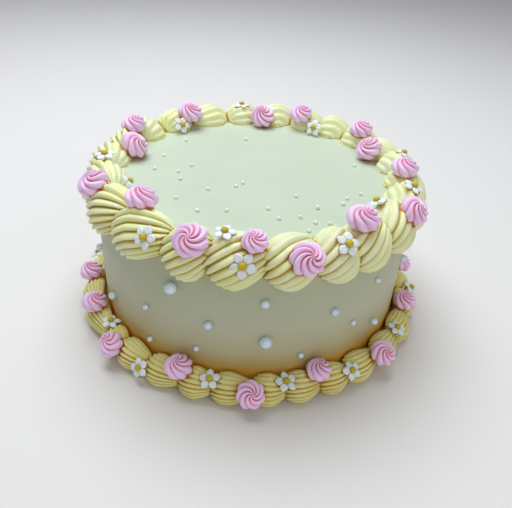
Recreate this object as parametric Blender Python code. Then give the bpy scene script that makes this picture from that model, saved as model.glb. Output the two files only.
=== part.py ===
# A round layer cake in smooth icing, with piped borders, icing roses, icing blossoms and sugar pearls.
# Metres, +Z up. The origin is the middle of the underside, and the front of the cake faces -Y.
# Places round the cake are angles in degrees, from +X and counter-clockwise from above.

import math
import random

import bmesh
import bpy
from mathutils import Matrix, Vector

MM = 0.001
GAP = 0.3 * MM
SEAT_GAP = 0.6 * MM
SHORTEST_EDGE = 0.4 * MM
MERGE_DISTANCE = 0.01 * MM

# Cake
CAKE_RADIUS = 98.5 * MM
CAKE_HEIGHT = 90.0 * MM
CAKE_SIDES = 48
CAKE_EDGE = 2.0 * MM
FOOT_EDGE = 1.0 * MM

# Sugar pearls: how deep each one sits in the icing, as a share of its diameter
PEARL_SINK = 0.22
LARGE_PEARL = 7.0 * MM
MEDIUM_PEARL = 4.8 * MM
SMALL_PEARL = 3.4 * MM
TINY_PEARL = 2.4 * MM

# Icing roses. The rings run from the foot to the crown: share of the radius, share of the height,
# depth of the grooves as a share of the radius, and twist in degrees.
ROSE_RADIUS = 8.4 * MM
ROSE_HEIGHT = 10.0 * MM
ROSE_LOBES = 7
ROSE_RINGS = [(0.78, 0.0, 0.05, 0), (1.0, 0.36, 0.10, 16), (0.66, 0.82, 0.10, 58)]

# Icing blossoms. The shares are of the radius, of half a petal's angle, and of the thickness.
BLOSSOM_RADIUS = 6.8 * MM
BLOSSOM_THICKNESS = 1.5 * MM
BLOSSOM_PETALS = 5
PETAL_LENGTH = 0.96
PETAL_WIDTH = 0.48
PETAL_VALLEY = 0.40
PETAL_ROOT = 0.30
PETAL_LIFT = 0.25
BUTTON_RADIUS = 0.20
BUTTON_HEIGHT = 1.8
BLOSSOM_FOOT = 0.6

# Seats: how much wider and higher the hollow for a rose or a blossom is than the topping itself
ROSE_SEAT_FOOT = 0.80
ROSE_SEAT_BRIM = 1.21
ROSE_SEAT_HEIGHT = 1.3
ROSE_SEAT_SIDES = 8
BLOSSOM_SEAT_HEIGHT = 4.0
BLOSSOM_SEAT_SIDES = 6

# How far roses and blossoms turn from the border's slope towards straight up
ROSE_UPRIGHT = 0.35
BLOSSOM_UPRIGHT = 0.2

# The puffs of the lower border are at least this many degrees long, and sizes vary by this share
SHORTEST_PUFF = 7
SIZE_SPREAD = 0.03

# Piped borders. Each puff of a border is half a star, which turns about its foot line to make the round
# head, and then runs on and narrows into the tail. The foot line bends round a core inside the cake, given
# as distance from the cake's axis and height, and lies slanting across the border. The lean is that of
# the puff's crest above the horizontal, and the reaches run from the crest to the two feet. The puffs at
# the back are larger than those in front by the growth.
TOP_BORDER = {
    "core": (79.5 * MM, CAKE_HEIGHT - 19.0 * MM),
    "core_radius": 19.0 * MM,
    "lean": 58.0,
    "outer_reach": 17.2 * MM,
    "inner_reach": 10.6 * MM,
    "outer_power": 1.0,
    "inner_power": 2.2,
    "rise": 14.0 * MM,
    "head": 15.5 * MM,
    "slant": 25.0,
    "inside": (88.0 * MM, CAKE_HEIGHT - 12.0 * MM),
    "crest_column": 8,
    "columns": 12,
    "ridge_depth": 0.085,
    "first_turn": -10.0,
    "turn_steps": 4,
    "tail_reach": 0.5,
    "tail_rise": 0.63,
    "tail_shift": 3.0 * MM,
    "growth": 0.1,
    "tail_overlap": 5.0 * MM,
    "middle": (91.0 * MM, CAKE_HEIGHT - 1.0 * MM),
    "rose_seat": 10.0 * MM,
    "blossom_seat": 12.4 * MM,
}
BOTTOM_BORDER = {
    "core": (55.9 * MM, -26.8 * MM),
    "core_radius": 60.0 * MM,
    "lean": 35.0,
    "outer_reach": 8.8 * MM,
    "inner_reach": 8.8 * MM,
    "outer_power": 0.7,
    "inner_power": 0.8,
    "rise": 8.6 * MM,
    "head": 10.0 * MM,
    "slant": 0.0,
    "inside": (CAKE_RADIUS + 1.0 * MM, 0.0),
    "crest_column": 6,
    "columns": 10,
    "ridge_depth": 0.10,
    "first_turn": 0.0,
    "turn_steps": 3,
    "tail_reach": 0.42,
    "tail_rise": 0.34,
    "tail_shift": 0.0,
    "growth": 0.0,
    "tail_overlap": 2.5 * MM,
    "middle": (104.5 * MM, 7.0 * MM),
    "rose_seat": 8.0 * MM,
    "blossom_seat": 9.6 * MM,
}

# Where the puffs of the upper border meet, in degrees round the cake
TOP_JOINTS = [-104, -87, -71, -59, -43, -27, -13, 1, 15, 29, 44, 58, 72, 88, 103, 121, 137, 151, 166,
              183, 203, 221, 242]

# Roses and blossoms: degrees round the cake, lean over the border from 0 outwards to 180 inwards, and size
TOP_ROSES = [
    (-106, 38, 1.04), (-88, 62, 0.76), (-74, 13, 1.02), (-51, 82, 1.02), (-29, 30, 1.0),
    (-4, 88, 0.95), (23, 146, 1.0), (37, 98, 0.9), (70, 115, 0.95), (89, 150, 1.0),
    (126, 116, 1.0), (157, 88, 0.95), (172, 152, 1.04), (207, 42, 1.04), (229, 104, 1.0),
]
TOP_BLOSSOMS = [
    (-120, 20, 1.0), (-97, 82, 0.9), (-91, 2, 1.06), (-61, 36, 1.0), (-34, 128, 0.95), (-17, 64, 0.95),
    (12, 62, 0.9), (60, 160, 0.95), (99, 86, 0.9), (134, 158, 0.95), (188, 84, 1.0), (206, 150, 0.9),
]
BOTTOM_ROSES = [
    (-170, 78, 0.96), (-152, 92, 0.98), (-133, 31, 0.98), (-109, 84, 0.98), (-87, 24, 1.0),
    (-66, 92, 0.9), (-43, 38, 0.98), (-16, 92, 0.94), (10, 48, 0.96), (34, 86, 0.98), (58, 34, 0.94),
    (83, 88, 0.98), (107, 30, 0.96), (131, 80, 0.98), (158, 46, 0.94),
]
BOTTOM_BLOSSOMS = [
    (-158, 36, 0.9), (-141, 90, 0.9), (-121, 20, 0.9), (-99, 66, 0.92), (-77, 66, 0.94), (-56, 46, 0.88),
    (-30, 66, 0.9), (-4, 42, 0.9), (22, 72, 0.88), (46, 44, 0.92), (71, 64, 0.9), (95, 50, 0.88),
    (119, 66, 0.92), (144, 40, 0.9), (176, 60, 0.9),
]

# Pearls on the wall: degrees round the cake, height in millimetres and diameter
WALL_PEARLS = [
    (-113, 65, LARGE_PEARL), (-83, 38, LARGE_PEARL), (-101, 46, MEDIUM_PEARL), (-84, 64, MEDIUM_PEARL),
    (-61, 52, MEDIUM_PEARL), (-40, 28, MEDIUM_PEARL), (-145, 29, MEDIUM_PEARL), (-16, 50, MEDIUM_PEARL),
    (-162, 46, MEDIUM_PEARL), (-124, 43, SMALL_PEARL), (-43, 61, SMALL_PEARL), (-52, 38, SMALL_PEARL),
    (-123, 20, SMALL_PEARL), (-105, 27, SMALL_PEARL), (-71, 25, SMALL_PEARL),
]
# The pearls between these angles are repeated half round the cake
FRONT_PEARLS = (-146, -24)
# Tiny pearls on the top: millimetres from the middle, to the right and to the back
TOP_PEARLS = [
    (-61, 15), (-63, -5), (-41, 3), (-48, -7), (-45, -17), (-27, -28), (-44, -41), (-30, -54), (-14, -52),
    (-7, -17), (-11, -22), (-50, 42), (-9, 51), (25, -30), (55, -29), (52, -36), (37, -42), (9, -47),
    (15, -57), (27, -54), (35, -59), (43, -59), (31, -68), (64, -22), (64, 18),
]


def clear_scene():
    for thing in list(bpy.data.objects):
        bpy.data.objects.remove(thing)


def make_material(name, colour, roughness):
    material = bpy.data.materials.new(name)
    material.use_nodes = True
    shader = material.node_tree.nodes["Principled BSDF"]
    shader.inputs["Base Color"].default_value = (*colour, 1.0)
    shader.inputs["Roughness"].default_value = roughness
    shader.inputs["Metallic"].default_value = 0.0
    return material


def make_object(name, form, material=None):
    """Turn a bmesh into an object of the scene."""
    bmesh.ops.recalc_face_normals(form, faces=form.faces)
    mesh = bpy.data.meshes.new(name)
    form.to_mesh(mesh)
    form.free()
    thing = bpy.data.objects.new(name, mesh)
    bpy.context.scene.collection.objects.link(thing)
    if material:
        mesh.materials.append(material)
    return thing


def drop_short_edges(mesh):
    """Close up the slivers that a Boolean leaves, as far as the skin stays closed."""
    for share in (1.0, 0.8, 0.6, 0.4, 0.2):
        form = bmesh.new()
        form.from_mesh(mesh)
        bmesh.ops.triangulate(form, faces=form.faces)
        bmesh.ops.dissolve_degenerate(form, edges=form.edges, dist=SHORTEST_EDGE * share)
        bmesh.ops.triangulate(form, faces=form.faces)
        closed = all(edge.is_manifold for edge in form.edges)
        if closed:
            form.to_mesh(mesh)
        form.free()
        if closed:
            return


def combine(thing, operation, others, name):
    """Join others to thing, or cut them from it, with one Boolean, and remove them."""
    group = bpy.data.collections.new(name)
    bpy.context.scene.collection.children.link(group)
    for other in others:
        group.objects.link(other)
    modifier = thing.modifiers.new(name, "BOOLEAN")
    modifier.operation = operation
    modifier.operand_type = "COLLECTION"
    modifier.collection = group
    modifier.solver = "MANIFOLD"
    seen = thing.evaluated_get(bpy.context.evaluated_depsgraph_get())
    joined = bpy.data.meshes.new_from_object(seen)
    thing.modifiers.clear()
    thing.data = joined
    for other in others:
        bpy.data.objects.remove(other)
    bpy.data.collections.remove(group)


def around(angle, distance, height):
    """The point at an angle in radians, a distance from the cake's axis and a height."""
    return Vector((distance * math.cos(angle), distance * math.sin(angle), height))


def turned(outline, sides):
    """A closed solid of revolution from points (distance, height), which start and end on the axis."""
    form = bmesh.new()
    rings = []
    for distance, height in outline[1:-1]:
        rings.append([form.verts.new(around(math.tau * i / sides, distance, height)) for i in range(sides)])
    for low, high in zip(rings, rings[1:]):
        for i in range(sides):
            after = (i + 1) % sides
            form.faces.new((low[i], low[after], high[after], high[i]))
    form.faces.new(rings[0][::-1])
    form.faces.new(rings[-1])
    return form


def cake_outline(grown):
    wall = CAKE_RADIUS + grown
    top = CAKE_HEIGHT + grown
    return [
        (0.0, -grown),
        (wall - FOOT_EDGE, -grown),
        (wall, FOOT_EDGE - grown),
        (wall, top - CAKE_EDGE),
        (wall - CAKE_EDGE, top),
        (0.0, top),
    ]


def pearl(centre, diameter):
    form = bmesh.new()
    bmesh.ops.create_icosphere(form, subdivisions=1, radius=diameter / 2, matrix=Matrix.Translation(centre))
    return make_object("pearl", form)


def wall_pearls():
    """The pearls in front, and the same scatter turned half round for the back."""
    pearls = []
    for turn in (0, 180):
        for degrees, height, diameter in WALL_PEARLS:
            if turn and not FRONT_PEARLS[0] < degrees < FRONT_PEARLS[1]:
                continue
            distance = CAKE_RADIUS + (0.5 - PEARL_SINK) * diameter
            centre = around(math.radians(degrees + turn), distance, height * MM)
            pearls.append(pearl(centre, diameter))
    return pearls


def top_pearls():
    lift = (0.5 - PEARL_SINK) * TINY_PEARL
    return [pearl(Vector((x * MM, y * MM, CAKE_HEIGHT + lift)), TINY_PEARL) for x, y in TOP_PEARLS]


def build_cake(material):
    cake = make_object("cake_body", turned(cake_outline(0.0), CAKE_SIDES), material)
    combine(cake, "UNION", wall_pearls() + top_pearls(), "pearls")
    drop_short_edges(cake.data)


def puff_point(border, swell, angle, column, turn, run):
    """One point of a puff: the turn raises the half star, and the run goes from 0 to 1 along the tail."""
    crest = border["crest_column"]
    if column < crest:
        psi = math.pi / 2 * column / crest
        reach = border["outer_reach"]
        power = border["outer_power"]
    else:
        psi = math.pi / 2 * (1 + (column - crest) / (border["columns"] - crest))
        reach = border["inner_reach"]
        power = border["inner_power"]
    edge = max(math.sin(psi), 0.0)
    relief = 1.0 + border["ridge_depth"] * edge * (1 if column % 2 else -1)
    side = reach * max(-1.0, min(1.0, relief * math.cos(psi)))
    side *= 1.0 - (1.0 - border["tail_reach"]) * run
    lift = relief * edge ** power * swell
    lift *= 1.0 - (1.0 - border["tail_rise"]) * run
    back = border["head"] * lift * math.cos(turn)
    slant = math.radians(border["slant"])
    forward = side * math.sin(slant) - back * math.cos(slant)
    down = side * math.cos(slant) + back * math.sin(slant)
    down -= border["tail_shift"] * (1.0 - (1.0 - run) ** 2)
    above = border["core_radius"] + border["rise"] * lift * math.sin(turn)
    lean = math.radians(border["lean"]) - down / border["core_radius"]
    spot = Vector(border["core"]) + above * Vector((math.cos(lean), math.sin(lean)))
    return around(angle + forward / border["middle"][0], spot.x, spot.y)


def puff(border, start, end, swell):
    """One piped puff between two angles in radians, as a closed mesh."""
    radius = border["middle"][0]
    hinge = start + border["head"] * swell / radius
    stop = end + border["tail_overlap"] / radius
    first = math.radians(border["first_turn"])
    columns = border["columns"]
    sections = []
    for i in range(border["turn_steps"]):
        sections.append((first + (math.pi / 2 - first) * i / (border["turn_steps"] - 1), 0.0))
    sections.append((math.pi / 2, 1.0))
    form = bmesh.new()
    grid = []
    for turn, run in sections:
        angle = hinge + (stop - hinge) * run
        points = [puff_point(border, swell, angle, j, turn, run) for j in range(columns + 1)]
        grid.append([form.verts.new(point) for point in points])
    for near, far in zip(grid, grid[1:]):
        for j in range(columns):
            form.faces.new((near[j], near[j + 1], far[j + 1], far[j]))
    # The underside is drawn to a line inside the cake, or along the corner at its foot
    inside = [form.verts.new(around(angle, *border["inside"])) for angle in (start, hinge, stop)]
    upright = grid[border["turn_steps"] - 1]
    end = grid[-1]
    for j in range(columns):
        form.faces.new((grid[0][j + 1], grid[0][j], inside[0]))
    for side in (0, -1):
        form.faces.new((inside[0], inside[1], upright[side]))
        form.faces.new((inside[1], inside[2], end[side], upright[side]))
    form.faces.new((*end, inside[2]))
    bmesh.ops.remove_doubles(form, verts=form.verts, dist=MERGE_DISTANCE)
    bmesh.ops.dissolve_degenerate(form, edges=form.edges, dist=MERGE_DISTANCE)
    return form


def build_border(name, border, joints, cuts, material, chance):
    """All puffs of a ring joined, then cut by the seats of what sits on it, and by the cake."""
    puffs = []
    for start, end in zip(joints, joints[1:] + [joints[0] + 360]):
        swell = chance.uniform(1.0 - SIZE_SPREAD, 1.0 + SIZE_SPREAD)
        swell *= 1.0 + border["growth"] * math.sin(math.radians((start + end) / 2))
        form = puff(border, math.radians(start), math.radians(end), swell)
        puffs.append(make_object("puff", form))
    ring = puffs[0]
    ring.name = name
    ring.data.materials.append(material)
    combine(ring, "UNION", puffs[1:], "puffs")
    combine(ring, "DIFFERENCE", cuts, "cuts")
    drop_short_edges(ring.data)


def seat_matrix(border, seat, degrees, lean, upright):
    """The place and tilt of a rose or blossom on a border: its own +Z points away from the border."""
    angle = math.radians(degrees)
    tilt = math.radians(lean)
    middle = border["middle"]
    distance = border[seat]
    place = around(angle, middle[0] + distance * math.cos(tilt), middle[1] + distance * math.sin(tilt))
    facing = math.radians(lean + (90.0 - lean) * upright)
    axis = around(angle, math.cos(facing), math.sin(facing))
    turn = axis.to_track_quat("Z", "Y").to_matrix().to_4x4()
    return Matrix.Translation(place) @ turn


def rose_form(size, spin):
    """A swirled icing rose: lobes that twist from the rim to the middle."""
    form = bmesh.new()
    count = 2 * ROSE_LOBES
    rings = []
    for distance, height, depth, twist in ROSE_RINGS:
        ring = []
        for i in range(count):
            angle = spin + math.tau * i / count - math.radians(twist)
            reach = ROSE_RADIUS * size * distance * (1.0 + depth * (1 if i % 2 else -1))
            ring.append(form.verts.new(around(angle, reach, ROSE_HEIGHT * size * height)))
        rings.append(ring)
    for low, high in zip(rings, rings[1:]):
        for i in range(count):
            after = (i + 1) % count
            form.faces.new((low[i], low[after], high[i]))
            form.faces.new((low[after], high[after], high[i]))
    tip = form.verts.new((0.0, 0.0, ROSE_HEIGHT * size))
    for i in range(count):
        form.faces.new((rings[-1][i], rings[-1][(i + 1) % count], tip))
    form.faces.new(rings[0][::-1])
    return form


def blossom_form(size, spin):
    """A flat blossom with narrow petals and a raised round centre."""
    form = bmesh.new()
    radius = BLOSSOM_RADIUS * size
    thickness = BLOSSOM_THICKNESS * size
    half = math.pi / BLOSSOM_PETALS
    edge = PETAL_LIFT * thickness
    outline = []
    inner = []
    button = []
    for petal in range(BLOSSOM_PETALS):
        middle = spin + 2 * half * petal
        outline.append(form.verts.new(around(middle - half, PETAL_VALLEY * radius, edge)))
        for corner in (middle - PETAL_WIDTH * half, middle + PETAL_WIDTH * half):
            outline.append(form.verts.new(around(corner, PETAL_LENGTH * radius, edge)))
        inner.append(form.verts.new(around(middle, PETAL_ROOT * radius, thickness)))
        button.append(form.verts.new(around(middle, BUTTON_RADIUS * radius, BUTTON_HEIGHT * thickness)))
    count = len(outline)
    for petal in range(BLOSSOM_PETALS):
        valley = outline[3 * petal]
        left = outline[3 * petal + 1]
        right = outline[3 * petal + 2]
        next_valley = outline[(3 * petal + 3) % count]
        next_inner = inner[(petal + 1) % BLOSSOM_PETALS]
        form.faces.new((valley, left, inner[petal]))
        form.faces.new((left, right, inner[petal]))
        form.faces.new((right, next_valley, inner[petal]))
        form.faces.new((inner[petal], next_valley, next_inner))
        form.faces.new((inner[petal], next_inner, button[(petal + 1) % BLOSSOM_PETALS], button[petal]))
    form.faces.new(button)
    foot = form.verts.new((0.0, 0.0, -BLOSSOM_FOOT * thickness))
    for i in range(count):
        form.faces.new((outline[i], foot, outline[(i + 1) % count]))
    return form


def rose_seat(size, matrix):
    """The hollow that a rose sits in: a plain cup a little larger than the rose."""
    form = bmesh.new()
    sides = ROSE_SEAT_SIDES
    foot = ROSE_RADIUS * size * ROSE_SEAT_FOOT + SEAT_GAP
    brim = ROSE_RADIUS * size * ROSE_SEAT_BRIM + SEAT_GAP
    widest = ROSE_HEIGHT * size * ROSE_RINGS[1][1]
    top = ROSE_HEIGHT * size * ROSE_SEAT_HEIGHT
    rings = []
    for reach, height in ((foot, -SEAT_GAP), (brim, widest), (brim, top)):
        rings.append([form.verts.new(around(math.tau * i / sides, reach, height)) for i in range(sides)])
    for low, high in zip(rings, rings[1:]):
        for i in range(sides):
            after = (i + 1) % sides
            form.faces.new((low[i], low[after], high[after], high[i]))
    form.faces.new(rings[0][::-1])
    form.faces.new(rings[-1])
    form.transform(matrix)
    return make_object("rose_seat", form)


def blossom_seat(size, matrix):
    """The hollow that a blossom sits in: a shallow cone under straight sides."""
    form = bmesh.new()
    sides = BLOSSOM_SEAT_SIDES
    reach = (BLOSSOM_RADIUS * size + SEAT_GAP) / math.cos(math.pi / sides)
    top = BLOSSOM_SEAT_HEIGHT * BLOSSOM_THICKNESS * size
    foot = form.verts.new((0.0, 0.0, -BLOSSOM_FOOT * BLOSSOM_THICKNESS * size - SEAT_GAP))
    brim = [form.verts.new(around(math.tau * i / sides, reach, -SEAT_GAP)) for i in range(sides)]
    lid = [form.verts.new(around(math.tau * i / sides, reach, top)) for i in range(sides)]
    for i in range(sides):
        after = (i + 1) % sides
        form.faces.new((foot, brim[after], brim[i]))
        form.faces.new((brim[i], brim[after], lid[after], lid[i]))
    form.faces.new(lid)
    form.transform(matrix)
    return make_object("blossom_seat", form)


def push_clear(form, degrees):
    """The shift that keeps a topping off the cake: up over the top, or out from the wall."""
    inside = [v.co for v in form.verts if math.hypot(v.co.x, v.co.y) < CAKE_RADIUS + GAP]
    inside = [spot for spot in inside if spot.z < CAKE_HEIGHT + GAP]
    if not inside:
        return Matrix()
    if inside[0].z > CAKE_HEIGHT / 2:
        return Matrix.Translation((0.0, 0.0, CAKE_HEIGHT + 2 * GAP - min(spot.z for spot in inside)))
    push = CAKE_RADIUS + 2 * GAP - min(math.hypot(spot.x, spot.y) for spot in inside)
    return Matrix.Translation(around(math.radians(degrees), push, 0.0))


def build_toppings(kind, border, places, upright, material, chance):
    """All roses or blossoms of one border, and the cutters for their seats."""
    seats = []
    for number, (degrees, lean, size) in enumerate(places, 1):
        spin = chance.uniform(0.0, math.tau)
        is_rose = kind.startswith("rose")
        form = rose_form(size, spin) if is_rose else blossom_form(size, spin)
        matrix = seat_matrix(border, "rose_seat" if is_rose else "blossom_seat", degrees, lean, upright)
        form.transform(matrix)
        push = push_clear(form, degrees)
        form.transform(push)
        seats.append(rose_seat(size, push @ matrix) if is_rose else blossom_seat(size, push @ matrix))
        make_object(f"{kind}_{number:02d}", form, material)
    return seats


def bottom_joints():
    """The puffs of the lower border meet under its roses and blossoms."""
    angles = sorted(degrees for degrees, lean, size in BOTTOM_ROSES + BOTTOM_BLOSSOMS)
    joints = [angles[0]]
    for angle in angles[1:]:
        if angle - joints[-1] > SHORTEST_PUFF:
            joints.append(angle)
    return joints


def cake_cutter():
    return make_object("cake_cutter", turned(cake_outline(GAP), CAKE_SIDES))


def main():
    clear_scene()
    chance = random.Random(7)
    cream = make_material("cream_icing", (0.80, 0.84, 0.66), 0.55)
    yellow = make_material("yellow_icing", (0.85, 0.78, 0.42), 0.5)
    pink = make_material("pink_icing", (0.82, 0.42, 0.66), 0.5)
    white = make_material("white_icing", (0.88, 0.89, 0.88), 0.45)

    build_cake(cream)
    seats = build_toppings("rose_top", TOP_BORDER, TOP_ROSES, ROSE_UPRIGHT, pink, chance)
    seats += build_toppings("blossom_top", TOP_BORDER, TOP_BLOSSOMS, BLOSSOM_UPRIGHT, white, chance)
    build_border("top_border", TOP_BORDER, TOP_JOINTS, seats + [cake_cutter()], yellow, chance)
    seats = build_toppings("rose_bottom", BOTTOM_BORDER, BOTTOM_ROSES, ROSE_UPRIGHT, pink, chance)
    seats += build_toppings("blossom_bottom", BOTTOM_BORDER, BOTTOM_BLOSSOMS, BLOSSOM_UPRIGHT, white,
                            chance)
    build_border("bottom_border", BOTTOM_BORDER, bottom_joints(), seats, yellow, chance)


main()
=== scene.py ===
import math
import random

import bmesh
import bpy
from mathutils import Matrix, Vector, noise
from mathutils.bvhtree import BVHTree


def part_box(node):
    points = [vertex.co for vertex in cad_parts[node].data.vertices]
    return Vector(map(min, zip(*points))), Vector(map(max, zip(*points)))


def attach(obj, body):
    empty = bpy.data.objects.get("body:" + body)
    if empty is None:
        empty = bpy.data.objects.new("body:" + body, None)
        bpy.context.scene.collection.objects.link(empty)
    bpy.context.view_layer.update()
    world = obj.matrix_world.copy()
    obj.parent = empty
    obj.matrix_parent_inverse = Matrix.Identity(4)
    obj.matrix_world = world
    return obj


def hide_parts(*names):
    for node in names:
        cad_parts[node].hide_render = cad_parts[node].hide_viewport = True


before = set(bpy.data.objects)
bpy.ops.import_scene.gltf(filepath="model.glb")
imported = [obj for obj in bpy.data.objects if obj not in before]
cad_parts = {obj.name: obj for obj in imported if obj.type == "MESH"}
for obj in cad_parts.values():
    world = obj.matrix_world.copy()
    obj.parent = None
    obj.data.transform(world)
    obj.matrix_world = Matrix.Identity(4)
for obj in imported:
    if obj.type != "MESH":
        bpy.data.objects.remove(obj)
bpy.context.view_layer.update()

mm = 0.001
# one random stream for the sizes of puffs and the spins of roses and blossoms, another for finer looks
chance = random.Random(7)
chanceOfLook = random.Random(31)

# the cake under its icing decorations, in millimetres
cake = {
    "radius": 98.5,
    "height": 90.0,
    "edge": 2.0,
    "edgeSteps": 5,
    "sides": 240,
    "wallRows": 44,
    "topRings": 26,
    "nearness": 0.01,
    "wallUnevenness": 0.32,
    "topUnevenness": 0.288,
    "strokeLength": 42,
    "strokeWidth": 17,
    "strokeSeed": 3.1,
    "dabSize": 15,
    "dabSeed": 8,
    "dabShare": 0.5,
    "wavesRound": 2.6,
    "waveHeight": 16,
    "ripplesRound": 1.2,
    "rippleHeight": 3.2,
    "rippleShare": 0.4,
}

# each puff is half a star that turns over about its foot line and runs on into its tail;
# the foot line bends round a core, and lies slanting across the border
upperBorder = {
    "core": (79.5, 71.0),
    "coreRadius": 19.0,
    "lean": 58.0,
    "outerReach": 17.2,
    "innerReach": 10.6,
    "outerPower": 1.0,
    "innerPower": 2.2,
    "rise": 14.0,
    "head": 15.5,
    "slant": 25.0,
    "middle": (91.0, 89.0),
    "inside": (88.0, 78.0),
    "crestShare": 0.62,
    "ridges": 13,
    "ridgeDepth": 0.105,
    "firstTurn": -10.0,
    "tailReach": 0.5,
    "tailRise": 0.63,
    "tailShift": 3.0,
    "growth": 0.1,
    "tailOverlap": 5.0,
    "tailEnd": 0.68,
    "columns": 80,
    "rows": 52,
    "headShare": 0.58,
    "roseSeat": 10.0,
    "roseRadius": 8.8,
    "blossomSeat": 12.4,
    "blossomRadius": 6.8,
    "joints": [-104, -87, -71, -59, -43, -27, -13, 1, 15, 29, 44, 58, 72, 88, 103, 121, 137, 151, 166,
               183, 203, 221, 242],
}
lowerBorder = {
    "core": (55.9, -26.8),
    "coreRadius": 60.0,
    "lean": 35.0,
    "outerReach": 8.8,
    "innerReach": 8.8,
    "outerPower": 0.7,
    "innerPower": 0.8,
    "rise": 8.2,
    "head": 10.0,
    "slant": 0.0,
    "middle": (104.5, 7.0),
    "inside": (99.5, 0.0),
    "crestShare": 0.55,
    "ridges": 11,
    "ridgeDepth": 0.10,
    "firstTurn": 0.0,
    "tailReach": 0.42,
    "tailRise": 0.34,
    "tailShift": 0.0,
    "growth": 0.0,
    "tailOverlap": 2.5,
    "tailEnd": 0.75,
    "columns": 64,
    "rows": 40,
    "headShare": 0.56,
    "roseSeat": 8.0,
    "roseRadius": 8.0,
    "blossomSeat": 9.6,
    "blossomRadius": 6.8,
}
# what the puffs of both borders share
piping = {
    "ridgePower": 0.75,
    "ridgeSpread": 0.25,
    "innerFade": 0.5,
    "footPower": 0.4,
    "lumps": 0.025,
    "lumpSeed": 5,
    "lumpsAcross": 9,
    "lumpsAlong": 6,
    "taperPower": 1.5,
    "swellSpread": 0.03,
    "seam": 0.005,
    "shortestPuff": 7,
}

# degrees round the cake, lean over the border from 0 outwards to 180 inwards, and size
topRoses = [
    (-106, 38, 1.04), (-88, 62, 0.76), (-74, 13, 1.02), (-51, 82, 1.02), (-29, 30, 1.0),
    (-4, 88, 0.95), (23, 146, 1.0), (37, 98, 0.9), (70, 115, 0.95), (89, 150, 1.0),
    (126, 116, 1.0), (157, 88, 0.95), (172, 152, 1.04), (207, 42, 1.04), (229, 104, 1.0),
]
topBlossoms = [
    (-120, 20, 1.0), (-97, 82, 0.9), (-91, 2, 1.06), (-61, 36, 1.0), (-34, 128, 0.95), (-17, 64, 0.95),
    (12, 62, 0.9), (60, 160, 0.95), (99, 86, 0.9), (134, 158, 0.95), (188, 84, 1.0), (206, 150, 0.9),
]
bottomRoses = [
    (-170, 78, 0.96), (-152, 92, 0.98), (-133, 31, 0.98), (-109, 84, 0.98), (-87, 24, 1.0),
    (-66, 92, 0.9), (-43, 38, 0.98), (-16, 92, 0.94), (10, 48, 0.96), (34, 86, 0.98), (58, 34, 0.94),
    (83, 88, 0.98), (107, 30, 0.96), (131, 80, 0.98), (158, 46, 0.94),
]
bottomBlossoms = [
    (-158, 36, 0.9), (-141, 90, 0.9), (-121, 20, 0.9), (-99, 66, 0.92), (-77, 66, 0.94), (-56, 46, 0.88),
    (-30, 66, 0.9), (-4, 42, 0.9), (22, 72, 0.88), (46, 44, 0.92), (71, 64, 0.9), (95, 50, 0.88),
    (119, 66, 0.92), (144, 40, 0.9), (176, 60, 0.9),
]
# how far roses and blossoms turn from the slope of the border towards straight up
upright = {"rose": 0.35, "blossom": 0.2}


def around(angle, distance, height):
    return Vector((distance * math.cos(angle), distance * math.sin(angle), height))


def startPiece():
    # nothing may be selected before an operator adds or changes a piece
    if bpy.context.object and bpy.context.object.mode != "OBJECT":
        bpy.ops.object.mode_set(mode="OBJECT")
    bpy.ops.object.select_all(action="DESELECT")


def pick(*pieces):
    startPiece()
    for piece in pieces:
        piece.select_set(True)
    bpy.context.view_layer.objects.active = pieces[0]


def placeOnCake(piece, name, slotName, material, *nodes):
    piece.name = name
    piece.data.name = name
    if material:
        piece.data.materials.clear()
        piece.data.materials.append(material)
    pick(piece)
    bpy.ops.object.transform_apply(location=True, rotation=True, scale=True)
    bpy.ops.object.shade_smooth()
    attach(piece, "root")
    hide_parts(*nodes)


# camera where the photograph was taken from
cameraView = {
    "place": (5.75, -322.4, 244.3),
    "down": 33.877,
    "pan": 0.427,
    "roll": 3.476,
    "lens": 39.375,
    "sensor": 36,
}


def makeCamera():
    down = math.radians(cameraView["down"])
    pan = Matrix.Rotation(math.radians(cameraView["pan"]), 3, "Z")
    ahead = pan @ Vector((0, math.cos(down), -math.sin(down)))
    side = pan @ Vector((1, 0, 0))
    above = pan @ Vector((0, math.sin(down), math.cos(down)))
    roll = math.radians(cameraView["roll"])
    right = math.cos(roll) * side + math.sin(roll) * above
    up = math.cos(roll) * above - math.sin(roll) * side
    camera = bpy.data.objects.new("camera", bpy.data.cameras.new("camera"))
    bpy.context.scene.collection.objects.link(camera)
    turn = Matrix((right, up, -ahead)).transposed().to_4x4()
    camera.matrix_world = Matrix.Translation(Vector(cameraView["place"]) * mm) @ turn
    camera.data.lens = cameraView["lens"]
    camera.data.sensor_width = cameraView["sensor"]
    bpy.context.scene.camera = camera


makeCamera()
print("camera ready")


# values of the surface that all icings share
icingSurface = {
    "patchDetail": 4,
    "patchRange": (0.35, 0.68),
    "grainDetail": 5,
    "grainRoughness": 0.62,
    # closeness ranges over which painted shade is mixed into grooves and deep gaps
    "grooveRange": (0.05, 0.32),
    "gapRange": (0.24, 0.68),
    "shineSpread": 0.18,
    "grainHeight": 0.2,
    "lightDepth": 2,
}


def newGroup(name, inputs, outputs):
    group = bpy.data.node_groups.new(name, "ShaderNodeTree")
    for label, kind, value in inputs:
        socket = group.interface.new_socket(label, in_out="INPUT", socket_type=kind)
        socket.default_value = value
    for label, kind in outputs:
        group.interface.new_socket(label, in_out="OUTPUT", socket_type=kind)
    return group


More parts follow.
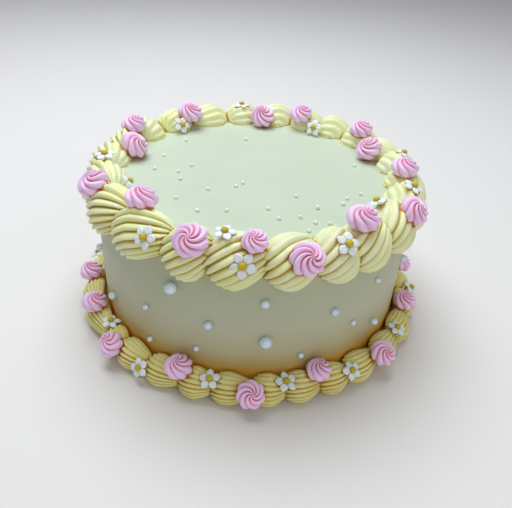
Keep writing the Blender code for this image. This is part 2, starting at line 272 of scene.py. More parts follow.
def makeIcingGroup():
    # fine grain and slow tone changes of whipped icing, and painted shade: darker colours in the grooves
    # and in deep gaps
    group = newGroup(
        "icingSurface",
        [
            ("Light", "NodeSocketColor", (1, 1, 1, 1)),
            ("Tone", "NodeSocketColor", (1, 1, 1, 1)),
            ("Groove Shade", "NodeSocketColor", (1, 1, 1, 1)),
            ("Gap Shade", "NodeSocketColor", (1, 1, 1, 1)),
            ("Patch Scale", "NodeSocketFloat", 40.0),
            ("Grain Scale", "NodeSocketFloat", 900.0),
            ("Roughness", "NodeSocketFloat", 0.5),
        ],
        [("Color", "NodeSocketColor"), ("Roughness", "NodeSocketFloat"), ("Height", "NodeSocketFloat")],
    )
    nodes = group.nodes
    links = group.links
    start = nodes.new("NodeGroupInput")
    end = nodes.new("NodeGroupOutput")
    place = nodes.new("ShaderNodeTexCoord")
    patches = nodes.new("ShaderNodeTexNoise")
    patches.inputs["Detail"].default_value = icingSurface["patchDetail"]
    links.new(place.outputs["Object"], patches.inputs["Vector"])
    links.new(start.outputs["Patch Scale"], patches.inputs["Scale"])
    grain = nodes.new("ShaderNodeTexNoise")
    grain.inputs["Detail"].default_value = icingSurface["grainDetail"]
    grain.inputs["Roughness"].default_value = icingSurface["grainRoughness"]
    links.new(place.outputs["Object"], grain.inputs["Vector"])
    links.new(start.outputs["Grain Scale"], grain.inputs["Scale"])
    spread = nodes.new("ShaderNodeMapRange")
    spread.inputs["From Min"].default_value = icingSurface["patchRange"][0]
    spread.inputs["From Max"].default_value = icingSurface["patchRange"][1]
    links.new(patches.outputs["Fac"], spread.inputs["Value"])
    tone = nodes.new("ShaderNodeMix")
    tone.data_type = "RGBA"
    links.new(spread.outputs["Result"], tone.inputs["Factor"])
    links.new(start.outputs["Light"], tone.inputs["A"])
    links.new(start.outputs["Tone"], tone.inputs["B"])
    colour = tone.outputs["Result"]
    # painted shade: grooves and deep gaps between pieces take darker colours, by how closed in each point
    # is
    for attribute, label, (first, last) in (
        ("grooveDepth", "Groove Shade", icingSurface["grooveRange"]),
        ("gapDepth", "Gap Shade", icingSurface["gapRange"]),
    ):
        mark = nodes.new("ShaderNodeAttribute")
        mark.attribute_name = attribute
        depth = nodes.new("ShaderNodeMapRange")
        depth.interpolation_type = "SMOOTHSTEP"
        depth.inputs["From Min"].default_value = first
        depth.inputs["From Max"].default_value = last
        links.new(mark.outputs["Fac"], depth.inputs["Value"])
        tint = nodes.new("ShaderNodeMix")
        tint.data_type = "RGBA"
        links.new(depth.outputs["Result"], tint.inputs["Factor"])
        links.new(colour, tint.inputs["A"])
        links.new(start.outputs[label], tint.inputs["B"])
        colour = tint.outputs["Result"]
    links.new(colour, end.inputs["Color"])
    shine = nodes.new("ShaderNodeMath")
    shine.operation = "MULTIPLY_ADD"
    shine.inputs[1].default_value = icingSurface["shineSpread"]
    links.new(grain.outputs["Fac"], shine.inputs[0])
    links.new(start.outputs["Roughness"], shine.inputs[2])
    links.new(shine.outputs["Value"], end.inputs["Roughness"])
    links.new(grain.outputs["Fac"], end.inputs["Height"])
    return group


icingGroup = makeIcingGroup()


def icingMaterial(name, look):
    material = bpy.data.materials.new(name)
    material.use_nodes = True
    nodes = material.node_tree.nodes
    links = material.node_tree.links
    shader = nodes["Principled BSDF"]
    surface = nodes.new("ShaderNodeGroup")
    surface.node_tree = icingGroup
    surface.inputs["Light"].default_value = (*look["light"], 1)
    surface.inputs["Tone"].default_value = (*look["tone"], 1)
    surface.inputs["Groove Shade"].default_value = (*look["grooveShade"], 1)
    surface.inputs["Gap Shade"].default_value = (*look["deep"], 1)
    surface.inputs["Patch Scale"].default_value = look["patchScale"]
    surface.inputs["Grain Scale"].default_value = look["grainScale"]
    surface.inputs["Roughness"].default_value = look["roughness"]
    links.new(surface.outputs["Color"], shader.inputs["Base Color"])
    links.new(surface.outputs["Roughness"], shader.inputs["Roughness"])
    bump = nodes.new("ShaderNodeBump")
    bump.inputs["Strength"].default_value = look["grain"]
    bump.inputs["Distance"].default_value = icingSurface["grainHeight"] * mm
    links.new(surface.outputs["Height"], bump.inputs["Height"])
    links.new(bump.outputs["Normal"], shader.inputs["Normal"])
    shader.inputs["Subsurface Weight"].default_value = look["softness"]
    shader.inputs["Subsurface Radius"].default_value = look["bleed"]
    shader.inputs["Subsurface Scale"].default_value = icingSurface["lightDepth"] * mm
    return material


# the colours and surface values of each icing; the groove and gap colours are painted shade
creamLook = {
    "light": (0.57, 0.66, 0.52),
    "tone": (0.55, 0.63, 0.49),
    "grooveShade": (0.54, 0.56, 0.34),
    "deep": (0.54, 0.38, 0.08),
    "patchScale": 22,
    "grainScale": 700,
    "roughness": 0.42,
    "grain": 0.25,
    "softness": 0.15,
    "bleed": (1.0, 0.85, 0.5),
}
yellowLook = {
    "light": (0.85, 0.89, 0.60),
    "tone": (0.84, 0.87, 0.44),
    "grooveShade": (0.64, 0.60, 0.08),
    "deep": (0.56, 0.30, 0.02),
    "patchScale": 60,
    "grainScale": 900,
    "roughness": 0.40,
    "grain": 0.3,
    "softness": 0.2,
    "bleed": (1.0, 0.8, 0.35),
}
# painted shade and painted warm reflected light: the lower border's icing is the yellow icing painted
# darker and more golden
yellowShadeAndGlowLook = {
    **yellowLook,
    "light": (0.84, 0.79, 0.36),
    "tone": (0.79, 0.72, 0.27),
    "grooveShade": (0.58, 0.49, 0.06),
    "deep": (0.50, 0.24, 0.01),
}
pinkLook = {
    "light": (0.94, 0.70, 1.0),
    "tone": (0.92, 0.62, 0.92),
    "grooveShade": (0.85, 0.44, 0.68),
    "deep": (0.82, 0.25, 0.25),
    "patchScale": 90,
    "grainScale": 900,
    "roughness": 0.40,
    "grain": 0.25,
    "softness": 0.2,
    "bleed": (1.0, 0.5, 0.6),
}
whiteLook = {
    "light": (0.86, 0.93, 0.97),
    "tone": (0.80, 0.88, 0.93),
    "grooveShade": (0.70, 0.76, 0.72),
    "deep": (0.68, 0.64, 0.40),
    "patchScale": 120,
    "grainScale": 900,
    "roughness": 0.40,
    "grain": 0.2,
    "softness": 0.1,
    "bleed": (1.0, 0.95, 0.9),
}
goldLook = {
    "light": (0.62, 0.48, 0.01),
    "tone": (0.54, 0.41, 0.01),
    "grooveShade": (0.42, 0.28, 0.01),
    "deep": (0.32, 0.18, 0.01),
    "patchScale": 200,
    "grainScale": 1200,
    "roughness": 0.42,
    "grain": 0.3,
    "softness": 0.1,
    "bleed": (1.0, 0.7, 0.2),
}
creamIcing = icingMaterial("creamIcing", creamLook)
yellowIcing = icingMaterial("yellowIcing", yellowLook)
yellowShadeAndGlowIcing = icingMaterial("yellowShadeAndGlowIcing", yellowShadeAndGlowLook)
pinkIcing = icingMaterial("pinkIcing", pinkLook)
whiteIcing = icingMaterial("whiteIcing", whiteLook)
goldIcing = icingMaterial("goldIcing", goldLook)


# painted light on the wall at shares of the cake's height, from the foot up to the flat top: painted warm
# reflected light makes the foot golden, and painted shade darkens the wall, most just below the upper
# border, but not the flat top
paintedWallLight = [
    (0.0, (1.5, 0.74, 0.10)),
    (0.15, (1.5, 0.78, 0.12)),
    (0.22, (1.0, 0.70, 0.38)),
    (0.32, (0.95, 0.77, 0.60)),
    (0.5, (0.94, 0.84, 0.77)),
    (0.75, (0.84, 0.77, 0.68)),
    (0.96, (0.79, 0.69, 0.50)),
    (0.985, (1.0, 1.0, 1.0)),
]


def paintWallLight(material):
    # painted light: the wall turns golden towards its foot as painted reflected light, and painted shade
    # makes it darker and yellower just below the upper border
    nodes = material.node_tree.nodes
    links = material.node_tree.links
    shader = nodes["Principled BSDF"]
    plain = shader.inputs["Base Color"].links[0].from_socket
    place = nodes.new("ShaderNodeTexCoord")
    split = nodes.new("ShaderNodeSeparateXYZ")
    links.new(place.outputs["Object"], split.inputs["Vector"])
    share = nodes.new("ShaderNodeMath")
    share.operation = "DIVIDE"
    share.inputs[1].default_value = cake["height"] * mm
    links.new(split.outputs["Z"], share.inputs[0])
    ramp = nodes.new("ShaderNodeValToRGB")
    elements = ramp.color_ramp.elements
    while len(elements) < len(paintedWallLight):
        elements.new(0.5)
    for element, (position, colour) in zip(elements, paintedWallLight):
        element.position = position
        element.color = (*colour, 1)
    links.new(share.outputs["Value"], ramp.inputs["Fac"])
    tint = nodes.new("ShaderNodeMix")
    tint.data_type = "RGBA"
    tint.blend_type = "MULTIPLY"
    tint.inputs["Factor"].default_value = 1
    links.new(plain, tint.inputs["A"])
    links.new(ramp.outputs["Color"], tint.inputs["B"])
    links.new(tint.outputs["Result"], shader.inputs["Base Color"])


paintWallLight(creamIcing)


pearlSurface = {
    "cloudScale": 350,
    "cloudDetail": 3,
    "cloudRange": (0.3, 0.7),
    "rimBlend": 0.35,
    "roughness": 0.15,
    "coat": 1,
    "coatRoughness": 0.05,
}


def pearlMaterial(name, shade, bright, rimShade):
    material = bpy.data.materials.new(name)
    material.use_nodes = True
    nodes = material.node_tree.nodes
    links = material.node_tree.links
    shader = nodes["Principled BSDF"]
    place = nodes.new("ShaderNodeTexCoord")
    cloud = nodes.new("ShaderNodeTexNoise")
    cloud.inputs["Scale"].default_value = pearlSurface["cloudScale"]
    cloud.inputs["Detail"].default_value = pearlSurface["cloudDetail"]
    links.new(place.outputs["Object"], cloud.inputs["Vector"])
    colours = nodes.new("ShaderNodeValToRGB")
    elements = colours.color_ramp.elements
    for element, position, colour in zip(elements, pearlSurface["cloudRange"], (shade, bright)):
        element.position = position
        element.color = (*colour, 1)
    links.new(cloud.outputs["Fac"], colours.inputs["Fac"])
    # painted shade: the colour is dimmed by the rim colour towards the pearl's rim as it is seen
    rim = nodes.new("ShaderNodeLayerWeight")
    rim.inputs["Blend"].default_value = pearlSurface["rimBlend"]
    dim = nodes.new("ShaderNodeMix")
    dim.data_type = "RGBA"
    dim.blend_type = "MULTIPLY"
    dim.inputs["B"].default_value = (*rimShade, 1)
    links.new(rim.outputs["Facing"], dim.inputs["Factor"])
    links.new(colours.outputs["Color"], dim.inputs["A"])
    links.new(dim.outputs["Result"], shader.inputs["Base Color"])
    shader.inputs["Roughness"].default_value = pearlSurface["roughness"]
    shader.inputs["Coat Weight"].default_value = pearlSurface["coat"]
    shader.inputs["Coat Roughness"].default_value = pearlSurface["coatRoughness"]
    return material


sugarPearl = pearlMaterial("sugarPearl", shade=(0.70, 0.88, 1.0), bright=(0.90, 0.98, 1.0),
                           rimShade=(0.38, 0.54, 0.80))
creamPearl = pearlMaterial("creamPearl", shade=(0.80, 0.90, 0.76), bright=(0.96, 1.0, 0.94),
                           rimShade=(0.95, 0.95, 0.92))
print("materials ready")


def topStroke(x, y):
    # long strokes across the top, with short dabs over them
    stroke = noise.noise(Vector((x / cake["strokeLength"], y / cake["strokeWidth"], cake["strokeSeed"])))
    dab = noise.noise(Vector((x / cake["dabSize"], y / cake["dabSize"], cake["dabSeed"])))
    return stroke + cake["dabShare"] * dab


def wallWave(out, z):
    # soft waves round the wall, with finer ripples over them
    wave = noise.noise(Vector((*(out * cake["wavesRound"]).xy, z / cake["waveHeight"])))
    ripple = noise.noise(Vector((*(out * cake["ripplesRound"]).xy, z / cake["rippleHeight"])))
    return wave + cake["rippleShare"] * ripple


def makeCakeIcing():
    startPiece()
    radius = cake["radius"] * mm
    height = cake["height"] * mm
    near = cake["nearness"] * mm
    bpy.ops.mesh.primitive_cylinder_add(vertices=cake["sides"], radius=radius, depth=height,
                                        location=(0, 0, height / 2))
    body = bpy.context.object
    bpy.ops.object.mode_set(mode="EDIT")
    bpy.ops.mesh.select_all(action="DESELECT")
    bpy.ops.mesh.select_mode(type="EDGE")
    form = bmesh.from_edit_mesh(body.data)
    for edge in form.edges:
        edge.select = abs(edge.verts[0].co.z - edge.verts[1].co.z) > height / 2
    bpy.ops.mesh.subdivide(number_cuts=cake["wallRows"])
    form = bmesh.from_edit_mesh(body.data)
    for edge in form.edges:
        edge.select = all(vertex.co.z > height / 2 - near for vertex in edge.verts)
    bpy.ops.mesh.bevel(offset=cake["edge"] * mm, segments=cake["edgeSteps"], affect="EDGES")
    bpy.ops.mesh.select_mode(type="FACE")
    form = bmesh.from_edit_mesh(body.data)
    for face in form.faces:
        face.select = len(face.verts) > 4 and face.calc_center_median().z > 0
    step = (radius - cake["edge"] * mm) / (cake["topRings"] + 1)
    for number in range(cake["topRings"]):
        bpy.ops.mesh.inset(thickness=step)
    bpy.ops.mesh.poke()
    bpy.ops.object.mode_set(mode="OBJECT")
    for vertex in body.data.vertices:
        x, y, z = vertex.co
        if z < -height / 2 + near:
            continue
        if z > height / 2 - near:
            vertex.co.z += cake["topUnevenness"] * mm * topStroke(x / mm, y / mm)
        else:
            out = around(math.atan2(y, x), 1, 0)
            vertex.co += out * cake["wallUnevenness"] * mm * wallWave(out, z / mm)
    placeOnCake(body, "cakeIcing", "cream_icing", creamIcing, "cake_body")
    return body


cakeIcing = makeCakeIcing()
print("cake iced")


# pearls: degrees round the cake, height and diameter; the ones in front are repeated at the back
pearls = {
    "sink": 0.22,
    "large": 7.0,
    "medium": 4.8,
    "small": 3.4,
    "tiny": 2.4,
    "lumps": 0.03,
    "lumpScale": 5,
    "subdivisions": 4,
    "repeated": (-146, -24),
    "wall": [
        (-113, 65, "large"), (-83, 38, "large"), (-101, 46, "medium"), (-84, 64, "medium"),
        (-61, 52, "medium"), (-40, 28, "medium"), (-145, 29, "medium"), (-16, 50, "medium"),
        (-162, 46, "medium"), (-124, 43, "small"), (-43, 61, "small"), (-52, 38, "small"),
        (-123, 20, "small"), (-105, 27, "small"), (-71, 25, "small"),
    ],
    "top": [
        (-61, 15), (-63, -5), (-41, 3), (-48, -7), (-45, -17), (-27, -28), (-44, -41), (-30, -54),
        (-14, -52), (-7, -17), (-11, -22), (-50, 42), (-9, 51), (25, -30), (55, -29), (52, -36),
        (37, -42), (9, -47), (15, -57), (27, -54), (35, -59), (43, -59), (31, -68), (64, -22), (64, 18),
    ],
}


def pearlPlaces():
    places = []
    for turn in (0, 180):
        for degrees, height, kind in pearls["wall"]:
            if turn and not pearls["repeated"][0] < degrees < pearls["repeated"][1]:
                continue
            size = pearls[kind]
            distance = cake["radius"] + (0.5 - pearls["sink"]) * size
            places.append((around(math.radians(degrees + turn), distance, height), size))
    size = pearls["tiny"]
    for x, y in pearls["top"]:
        places.append((Vector((x, y, cake["height"] + (0.5 - pearls["sink"]) * size)), size))
    return places


def makePearls():
    startPiece()
    bpy.ops.mesh.primitive_ico_sphere_add(subdivisions=pearls["subdivisions"], radius=0.5)
    first = bpy.context.object
    # sugar pearls are a little lumpy
    for vertex in first.data.vertices:
        vertex.co *= 1 + pearls["lumps"] * noise.noise(vertex.co * pearls["lumpScale"])
    made = []
    for place, size in pearlPlaces():
        pearl = bpy.data.objects.new("pearl", first.data.copy())
        bpy.context.scene.collection.objects.link(pearl)
        turn = Matrix.Rotation(chanceOfLook.uniform(0, math.tau), 4, "X")
        pearl.data.transform(Matrix.Translation(place * mm) @ Matrix.Scale(size * mm, 4) @ turn)
        pearl.data.materials.append(creamPearl if size == pearls["tiny"] else sugarPearl)
        made.append(pearl)
    bpy.data.objects.remove(first)
    pick(*made)
    bpy.ops.object.join()
    placeOnCake(made[0], "sugarPearls", "white_icing", None, "cake_body")


makePearls()
print("pearls placed")


def seatMatrix(border, seat, degrees, lean, stand):
    angle = math.radians(degrees)
    tilt = math.radians(lean)
    seated = Vector(border["middle"]) + border[seat] * Vector((math.cos(tilt), math.sin(tilt)))
    place = around(angle, seated.x, seated.y)
    facing = math.radians(lean + (90.0 - lean) * stand)
    axis = around(angle, math.cos(facing), math.sin(facing))
    return Matrix.Translation(place * mm) @ axis.to_track_quat("Z", "Y").to_matrix().to_4x4()


def settle(piece, node):
    # the piece's middle goes where the solid's middle is
    low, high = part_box(node)
    spots = [vertex.co for vertex in piece.data.vertices]
    middle = Vector([(min(s[i] for s in spots) + max(s[i] for s in spots)) / 2 for i in range(3)])
    piece.data.transform(Matrix.Translation((low + high) / 2 - middle))


rose = {
    "height": 9.7,
    "lobes": 7,
    "grooveDepth": 0.25,
    "beltHeight": 0.36,
    "twist": 118.0,
    "beltTwist": 16.0,
    "twistPower": 0.9,
    "footShare": 0.12,
    "grooveFade": 0.3,
    "lobePower": 0.6,
    "lobeSkew": 0.12,
    "lobeLevel": 0.9,
    "waver": 0.025,
    "waversRound": 3,
    "waversUp": 4,
    "offCentre": 0.2,
    "offCentreSpread": (0.5, 1.3),
    "shiftPower": 1.6,
    "segments": 96,
    "rings": 44,
}


def rosePoint(share, angle, radius, height, look):
    # share runs from the middle of the underside to the tip, and the foot is flat
    foot = math.asin(rose["beltHeight"] / (1 - rose["beltHeight"]))
    climb = -foot
    lift = 0.0
    rise = 0.0
    turn = 0.0
    inner = 0.0
    fade = 0.0
    spread = 0.0
    if share < rose["footShare"]:
        reach = math.cos(foot) * share / rose["footShare"]
    else:
        climb += (math.pi / 2 + foot) * (share - rose["footShare"]) / (1 - rose["footShare"])
        reach = max(math.cos(climb), 0.0)
        lift = (math.sin(climb) + math.sin(foot)) / (1 + math.sin(foot))
        spread = reach
        rise = math.sin(climb)
        turn = rose["beltTwist"] * (1 + climb / foot)
    if share > rose["footShare"]:
        fade = min(1.0, reach / rose["grooveFade"])
    if climb > 0:
        inner = 1 - reach
        turn = rose["beltTwist"] + rose["twist"] * inner ** rose["twistPower"]
    phase = rose["lobes"] * angle / 2
    lobe = abs(math.cos(phase + rose["lobeSkew"] * math.sin(2 * phase))) ** rose["lobePower"]
    spot = around(angle, rose["waversRound"], look["seed"] + rose["waversUp"] * share)
    relief = rose["grooveDepth"] * fade * (lobe - rose["lobeLevel"]) + rose["waver"] * noise.noise(spot)
    swirl = look["spin"] + angle - math.radians(turn)
    point = around(swirl, reach + relief * spread, lift + relief * rise * radius / height)
    point += around(look["sideways"], look["offCentre"] * inner ** rose["shiftPower"], 0)
    return Vector((point.x * radius, point.y * radius, point.z * height))


def makeRose(name, radius, size, spin, matrix):
    # a ball is pressed flat below and drawn up into a swirl of lobes
    startPiece()
    bpy.ops.mesh.primitive_uv_sphere_add(segments=rose["segments"], ring_count=rose["rings"], radius=1)
    piece = bpy.context.object
    height = rose["height"] * size * mm
    look = {
        "spin": spin,
        "sideways": chanceOfLook.uniform(0, math.tau),
        "offCentre": rose["offCentre"] * chanceOfLook.uniform(*rose["offCentreSpread"]),
        "seed": chanceOfLook.uniform(0, 100),
    }
    for vertex in piece.data.vertices:
        share = 0.5 + math.asin(max(-1.0, min(1.0, vertex.co.z))) / math.pi
        angle = math.atan2(vertex.co.y, vertex.co.x)
        vertex.co = rosePoint(share, angle, radius, height, look)
    piece.data.transform(matrix)
    settle(piece, name)
    placeOnCake(piece, name.replace("rose", "icingRose"), "pink_icing", pinkIcing, name)
    return piece


blossom = {
    "petals": 5,
    "petalStart": 0.12,
    "petalLength": (0.94, 1.02),
    "petalWidth": 0.638,
    "widthSpread": (0.9, 1.1),
    "turnSpread": 0.06,
    "petalThickness": 0.28,
    "rootWidth": 0.62,
    "belly": 0.5,
    "bellyPower": 1.2,
    "valleyDepth": 0.05,
    "valleyWidth": 0.2,
    "rootLift": 0.16,
    "tipLift": 0.05,
    "buttonRadius": 0.3,
    "buttonHeight": 0.8,
    "buttonLumps": 0.10,
    "lumpScale": 2,
    "lumpSeed": 9,
    "segments": 16,
    "rings": 10,
}


def petalPoint(x, y, z, length, width):
    # a ball is drawn out into a petal, with a soft valley along its upper side
    along = x + 0.5
    belly = math.sin(math.pi * min(along, 0.999) ** blossom["bellyPower"])
    taper = blossom["rootWidth"] + blossom["belly"] * belly
    valley = 0.0
    if z > 0:
        valley = math.exp(-((y / blossom["valleyWidth"]) ** 2)) * math.sin(math.pi * along)
    lift = blossom["rootLift"] * (1 - along) + blossom["tipLift"] * along ** 2
    reach = (blossom["petalStart"] + (1 - blossom["petalStart"]) * along) * length
    height = z * blossom["petalThickness"] - blossom["valleyDepth"] * valley + lift
    return Vector((reach, y * width * taper, height))


def makePetal(radius, middle):
    startPiece()
    bpy.ops.mesh.primitive_uv_sphere_add(segments=blossom["segments"], ring_count=blossom["rings"],
                                         radius=0.5)
    petal = bpy.context.object
    length = chanceOfLook.uniform(*blossom["petalLength"])
    width = blossom["petalWidth"] * chanceOfLook.uniform(*blossom["widthSpread"])
    for vertex in petal.data.vertices:
        vertex.co = petalPoint(*vertex.co, length, width)
    turn = middle + chanceOfLook.uniform(-blossom["turnSpread"], blossom["turnSpread"])
    petal.data.transform(Matrix.Scale(radius, 4) @ Matrix.Rotation(turn, 4, "Z"))
    petal.data.materials.append(whiteIcing)
    return petal


def makeButton(radius, size, spin):
    startPiece()
    bpy.ops.mesh.primitive_uv_sphere_add(segments=blossom["segments"], ring_count=blossom["rings"],
                                         radius=1)
    button = bpy.context.object
    seed = Vector((spin, size * blossom["lumpSeed"], 0))
    for vertex in button.data.vertices:
        lump = noise.noise(vertex.co * blossom["lumpScale"] + seed)
        vertex.co *= 1 + blossom["buttonLumps"] * lump
        vertex.co.z = vertex.co.z * blossom["buttonHeight"] + 1
    button.data.transform(Matrix.Scale(radius * blossom["buttonRadius"], 4))
    button.data.materials.append(goldIcing)
    return button


def makeBlossom(name, radius, size, spin, matrix):
    parts = []
    for number in range(blossom["petals"]):
        parts.append(makePetal(radius, spin + math.tau * number / blossom["petals"]))
    parts.append(makeButton(radius, size, spin))
    pick(*parts)
    bpy.ops.object.join()
    piece = parts[0]
    piece.data.transform(matrix)
    settle(piece, name)
    placeOnCake(piece, name.replace("blossom", "icingBlossom"), "white_icing", None, name)
    return piece


def ridgeShape(place):
    # rounded ridges with narrow grooves between them
    return abs(math.sin(math.pi * place)) ** piping["ridgePower"]


def puffPoint(border, puff, across, along):
    radius = border["middle"][0]
    slant = math.radians(border["slant"])
    # the profile runs from the outer foot over the crest to the inner foot
    crest = border["crestShare"]
    if across < crest:
        psi = math.pi / 2 * across / crest
        reach = border["outerReach"]
        power = border["outerPower"]
    else:
        psi = math.pi / 2 * (1 + (across - crest) / (1 - crest))
        reach = border["innerReach"]
        power = border["innerPower"]
    edge = max(math.sin(psi), 0.0)
    ridge = ridgeShape(across * border["ridges"])
    lumpPlace = across * piping["lumpsAcross"]
    strength = 1 + piping["ridgeSpread"] * noise.noise(Vector((puff["seed"], lumpPlace, 0)))
    strength *= border["ridgeDepth"]
    strength *= 1 - piping["innerFade"] * max(across - crest, 0.0) / (1 - crest)
    relief = 1 + strength * (2 * ridge - 1) * edge ** piping["footPower"]
    lump = Vector((puff["seed"] + piping["lumpSeed"], lumpPlace, along * piping["lumpsAlong"]))
    relief += piping["lumps"] * edge * noise.noise(lump)
    side = reach * max(-1.0, min(1.0, relief * math.cos(psi)))
    lift = relief * edge ** power * puff["swell"]
    shift = 0.0
    run = 0.0
    if along < border["headShare"]:
        first = math.radians(border["firstTurn"])
        turn = first + (math.pi / 2 - first) * along / border["headShare"]
    else:
        turn = math.pi / 2
        run = (along - border["headShare"]) / (1 - border["headShare"])
        narrowing = run ** piping["taperPower"]
        side *= 1 - (1 - border["tailReach"]) * narrowing
        lift *= 1 - (1 - border["tailRise"]) * narrowing
        shift = border["tailShift"] * (1 - (1 - run) ** 2)
        # the tail's end is rounded off inside the next puff
        beyond = max(0.0, run - border["tailEnd"]) / (1 - border["tailEnd"])
        rounding = math.sqrt(1 - beyond ** 2)
        side *= rounding
        lift *= rounding
    back = border["head"] * lift * math.cos(turn)
    forward = side * math.sin(slant) - back * math.cos(slant)
    down = side * math.cos(slant) + back * math.sin(slant) - shift
    angle = puff["hinge"] + (puff["stop"] - puff["hinge"]) * run + forward / radius
    above = border["coreRadius"] + border["rise"] * lift * math.sin(turn)
    lean = math.radians(border["lean"]) - down / border["coreRadius"]
    spot = Vector(border["core"]) + above * Vector((math.cos(lean), math.sin(lean)))
    return around(angle, spot.x, spot.y) * mm


def makePuff(border, start, end, swell):
    # a flat grid is wrapped into the puff, and its rim is drawn together inside the cake
    radius = border["middle"][0]
    puff = {
        "swell": swell,
        "hinge": math.radians(start) + border["head"] * swell / radius,
        "stop": math.radians(end) + border["tailOverlap"] / radius,
        "seed": chanceOfLook.uniform(0, 100),
    }
    startPiece()
    bpy.ops.mesh.primitive_grid_add(x_subdivisions=border["columns"], y_subdivisions=border["rows"], size=2)
    piece = bpy.context.object
    for vertex in piece.data.vertices:
        vertex.co = puffPoint(border, puff, (1 - vertex.co.x) / 2, (vertex.co.y + 1) / 2)
    bpy.ops.object.mode_set(mode="EDIT")
    bpy.ops.mesh.select_mode(type="VERT")
    bpy.ops.mesh.select_all(action="SELECT")
    bpy.ops.mesh.remove_doubles(threshold=piping["seam"] * mm)
    bpy.ops.mesh.select_all(action="DESELECT")
    bpy.ops.mesh.select_non_manifold()
    bpy.ops.mesh.extrude_edges_move()
    bpy.ops.mesh.merge(type="CENTER")
    form = bmesh.from_edit_mesh(piece.data)
    middleAngle = (math.radians(start) + puff["stop"]) / 2
    for vertex in form.verts:
        if vertex.select:
            vertex.co = around(middleAngle, *border["inside"]) * mm
    bmesh.update_edit_mesh(piece.data)
    bpy.ops.mesh.select_all(action="SELECT")
    bpy.ops.mesh.normals_make_consistent(inside=False)
    bpy.ops.object.mode_set(mode="OBJECT")
    return piece


def joinPuffs(puffs, name):
    # one Boolean union makes the ring of puffs one skin
    ring = puffs[0]
    others = bpy.data.collections.new(name)
    bpy.context.scene.collection.children.link(others)
    for puff in puffs[1:]:
        bpy.context.scene.collection.objects.unlink(puff)
        others.objects.link(puff)
    union = ring.modifiers.new("union", "BOOLEAN")
    union.operation = "UNION"
    union.operand_type = "COLLECTION"
    union.collection = others
    union.solver = "MANIFOLD"
    pick(ring)
    bpy.ops.object.modifier_apply(modifier="union")
    for puff in puffs[1:]:
        bpy.data.objects.remove(puff)
    bpy.data.collections.remove(others)
    return ring


def makeBorder(border, joints, name, material, node):
    puffs = []
    for start, end in zip(joints, joints[1:] + [joints[0] + 360]):
        middle = math.radians((start + end) / 2)
        swell = chance.uniform(1 - piping["swellSpread"], 1 + piping["swellSpread"])
        swell *= 1 + border["growth"] * math.sin(middle)
        puffs.append(makePuff(border, start, end, swell))
    ring = joinPuffs(puffs, name)
    placeOnCake(ring, name, "yellow_icing", material, node)
    print(name, len(ring.data.vertices), "vertices")
    return ring


def lowerJoints():
    # the puffs of the lower border meet under its roses and blossoms
    angles = sorted(place[0] for place in bottomRoses + bottomBlossoms)
    joints = [angles[0]]
    for angle in angles[1:]:
        if angle - joints[-1] > piping["shortestPuff"]:
            joints.append(angle)
    return joints


def makeToppings(border, kind, ring, places):
    make = makeRose if kind == "rose" else makeBlossom
    made = []
    for number, (degrees, lean, size) in enumerate(places, 1):
        spin = chance.uniform(0.0, math.tau)
        matrix = seatMatrix(border, kind + "Seat", degrees, lean, upright[kind])
        radius = border[kind + "Radius"] * size * mm
        made.append(make(f"{kind}_{ring}_{number:02d}", radius, size, spin, matrix))
    return made


toppings = makeToppings(upperBorder, "rose", "top", topRoses)
toppings += makeToppings(upperBorder, "blossom", "top", topBlossoms)
upperRing = makeBorder(upperBorder, upperBorder["joints"], "upperBorder", yellowIcing, "top_border")
toppings += makeToppings(lowerBorder, "rose", "bottom", bottomRoses)
toppings += makeToppings(lowerBorder, "blossom", "bottom", bottomBlossoms)
lowerRing = makeBorder(lowerBorder, lowerJoints(), "lowerBorder", yellowShadeAndGlowIcing, "bottom_border")
print("borders and toppings piped")


# how closed in each point lies: near by for the grooves, and further for the gaps between pieces; both set
# how much painted shade darkens the icing there
marks = {
    "grooveReach": 2.6,
    "gapReach": 9.0,
    "lift": 0.2,
    "rays": 12,
    "widest": 0.92,
    "goldenAngle": 2.39996,
}


def rayDirections(count):
    # spread evenly over the half ball above a surface
    directions = []
    for number in range(count):
        height = 1 - (number + 0.5) / count * marks["widest"]
        angle = number * marks["goldenAngle"]
        directions.append(around(angle, math.sqrt(1 - height ** 2), height))
    return directions


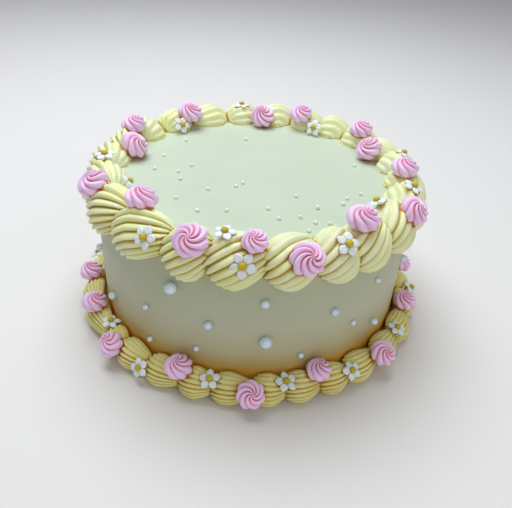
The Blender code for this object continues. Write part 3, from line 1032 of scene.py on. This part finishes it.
def markDepths(pieces):
    points = []
    faces = []
    for piece in pieces:
        base = len(points)
        points += [vertex.co.copy() for vertex in piece.data.vertices]
        faces += [[base + i for i in face.vertices] for face in piece.data.polygons]
    tree = BVHTree.FromPolygons(points, faces)
    directions = rayDirections(marks["rays"])
    grooveReach = marks["grooveReach"] * mm
    gapReach = marks["gapReach"] * mm
    for piece in pieces:
        grooves = []
        gaps = []
        for vertex in piece.data.vertices:
            turn = vertex.normal.to_track_quat("Z", "Y")
            origin = vertex.co + vertex.normal * marks["lift"] * mm
            grooveShade = 0.0
            gap = 0.0
            for direction in directions:
                distance = tree.ray_cast(origin, turn @ direction, gapReach)[3]
                if distance is not None:
                    gap += 1 - distance / gapReach
                    grooveShade += max(0.0, 1 - distance / grooveReach)
            grooves.append(grooveShade / len(directions))
            gaps.append(gap / len(directions))
        piece.data.attributes.new("grooveDepth", "FLOAT", "POINT").data.foreach_set("value", grooves)
        piece.data.attributes.new("gapDepth", "FLOAT", "POINT").data.foreach_set("value", gaps)


markDepths([cakeIcing, upperRing, lowerRing, *toppings])
print("grooves and gaps marked")


studio = {
    "floor": (0.80, 0.78, 0.77),
    "floorSize": 8,
    "floorDrop": 0.2,
    "floorRoughness": 0.8,
    "aim": (0, 0, 0.05),
    "keyPlace": (-0.15, 0.28, 1.0),
    "keySize": 0.9,
    "keyPower": 10,
    "keyColour": (0.92, 0.97, 1.0),
    "fillPlace": (0.5, -0.9, 0.6),
    "fillSize": 1.2,
    "fillPower": 3,
    "fillColour": (1.0, 0.95, 0.88),
    "sky": (0.93, 0.95, 1.0),
    "skyPower": 0.3,
}


def makeFloor():
    startPiece()
    bpy.ops.mesh.primitive_plane_add(size=studio["floorSize"], location=(0, 0, -studio["floorDrop"] * mm))
    floor = bpy.context.object
    floor.name = "floor"
    material = bpy.data.materials.new("floor")
    material.use_nodes = True
    shader = material.node_tree.nodes["Principled BSDF"]
    shader.inputs["Base Color"].default_value = (*studio["floor"], 1)
    shader.inputs["Roughness"].default_value = studio["floorRoughness"]
    floor.data.materials.append(material)


def makeLight(name, place, size, power, colour):
    light = bpy.data.lights.new(name, "AREA")
    light.shape = "DISK"
    light.size = size
    light.energy = power
    light.color = colour
    lamp = bpy.data.objects.new(name, light)
    bpy.context.scene.collection.objects.link(lamp)
    lamp.location = place
    towards = Vector(studio["aim"]) - Vector(place)
    lamp.rotation_euler = towards.to_track_quat("-Z", "Y").to_euler()


def makeStudio():
    makeFloor()
    makeLight("keyLight", studio["keyPlace"], studio["keySize"], studio["keyPower"], studio["keyColour"])
    makeLight("fillLight", studio["fillPlace"], studio["fillSize"], studio["fillPower"],
              studio["fillColour"])
    world = bpy.data.worlds.new("studio")
    bpy.context.scene.world = world
    world.use_nodes = True
    background = world.node_tree.nodes["Background"]
    background.inputs["Color"].default_value = (*studio["sky"], 1)
    background.inputs["Strength"].default_value = studio["skyPower"]
    bpy.context.scene.view_settings.view_transform = "Standard"


makeStudio()
print("studio ready")
